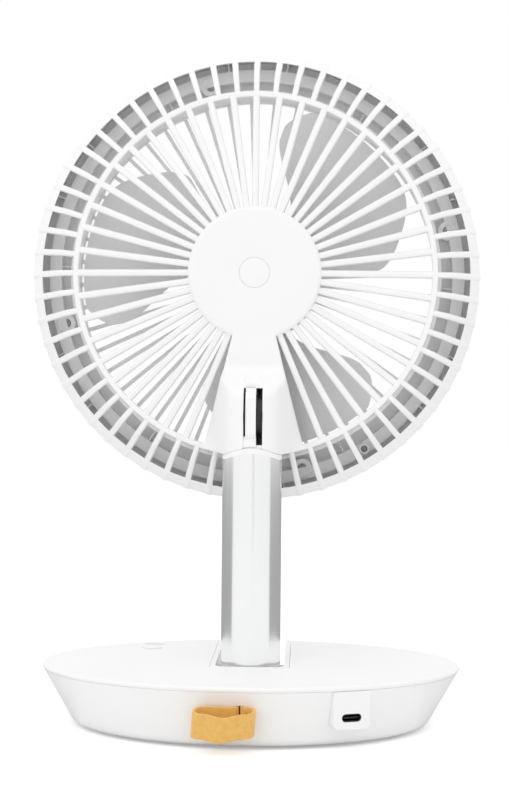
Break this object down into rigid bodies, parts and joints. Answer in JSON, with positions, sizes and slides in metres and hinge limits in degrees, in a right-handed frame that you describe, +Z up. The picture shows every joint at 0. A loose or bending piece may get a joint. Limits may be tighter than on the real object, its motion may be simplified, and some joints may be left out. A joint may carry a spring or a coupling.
{
  "type": "folding table fan",
  "caption": "White folding table fan with a ribbed round head, an aluminium pole and an oval base with a USB-C inlet and a mustard webbing loop.",
  "frame": {"origin": "on the table under the middle of the base's oval, in the plane of the rubber feet", "axes": "+Z up, +X along the base's long axis and the hinge pins, -Y the way the air leaves; the rear guard, the USB-C inlet and the webbing loop face +Y"},
  "size_m": [0.22, 0.1528, 0.322],
  "materials": {
    "white_plastic": "satin moulded white",
    "grey_plastic": "matt light grey",
    "dark_plastic": "matt black",
    "rubber": "matt black rubber",
    "steel": "zinc plated",
    "pole_aluminium": "satin anodised",
    "cell_can": "plain sleeve on a cell, with the density of the whole cell",
    "board": "solder mask",
    "lens": "frosted",
    "webbing": "woven mustard tape",
    "copper_wire": "enamelled copper",
    "magnet": "plain ferrite"
  },
  "bodies": {
    "base": {"base_shell": "white_plastic", "base_cover": "white_plastic", "channel_liner": "white_plastic", "rubber_feet": "rubber", "base_screws": "steel", "fold_bracket_left": "steel", "fold_bracket_right": "steel", "fold_pin": "steel", "fold_washers": "grey_plastic", "battery_cells": "cell_can", "battery_tray_left": "dark_plastic", "battery_tray_right": "dark_plastic", "control_board": "board", "button_switch": "dark_plastic", "indicator_lens": "lens", "usb_bezel": "white_plastic", "usb_socket": "steel", "usb_board": "board", "strap": "webbing", "strap_clip": "grey_plastic"},
    "button": {"power_button": "white_plastic"},
    "pole": {"pole_tube": "pole_aluminium", "pole_foot": "white_plastic", "pole_cap": "white_plastic", "pole_lead": "rubber"},
    "head": {"rear_guard": "white_plastic", "hub_plug": "white_plastic", "neck_cover": "white_plastic", "neck_screws": "steel", "tilt_pin": "steel", "tilt_washers": "grey_plastic", "shroud_ring": "white_plastic", "shroud_screws": "steel", "lock_screw": "steel", "front_guard": "white_plastic", "front_plate": "white_plastic", "motor_plate": "grey_plastic", "motor_screws": "steel", "motor_board": "board", "stator_core": "steel", "stator_coils": "copper_wire", "bearings": "steel"},
    "rotor": {"motor_shaft": "steel", "rotor_can": "steel", "rotor_magnets": "magnet", "impeller": "white_plastic", "impeller_nut": "steel"}
  },
  "joints": [
    {"name": "pole_fold", "type": "hinge", "parent": "base", "child": "pole", "pos_m": [0, 0, 0.0184], "axis": [1, 0, 0], "range_deg": [0, 90]},
    {"name": "head_tilt", "type": "hinge", "parent": "pole", "child": "head", "pos_m": [0, 0.0036, 0.1435], "axis": [-1, 0, 0], "range_deg": [0, 150]},
    {"name": "blade_spin", "type": "hinge", "parent": "head", "child": "rotor", "pos_m": [0, 0, 0.212], "axis": [0, 1, 0], "continuous": true},
    {"name": "button_press", "type": "slide", "parent": "base", "child": "button", "axis": [0, 0, -1], "range_m": [0, 0.0005], "stiffness_N_per_m": 1500}
  ]
}
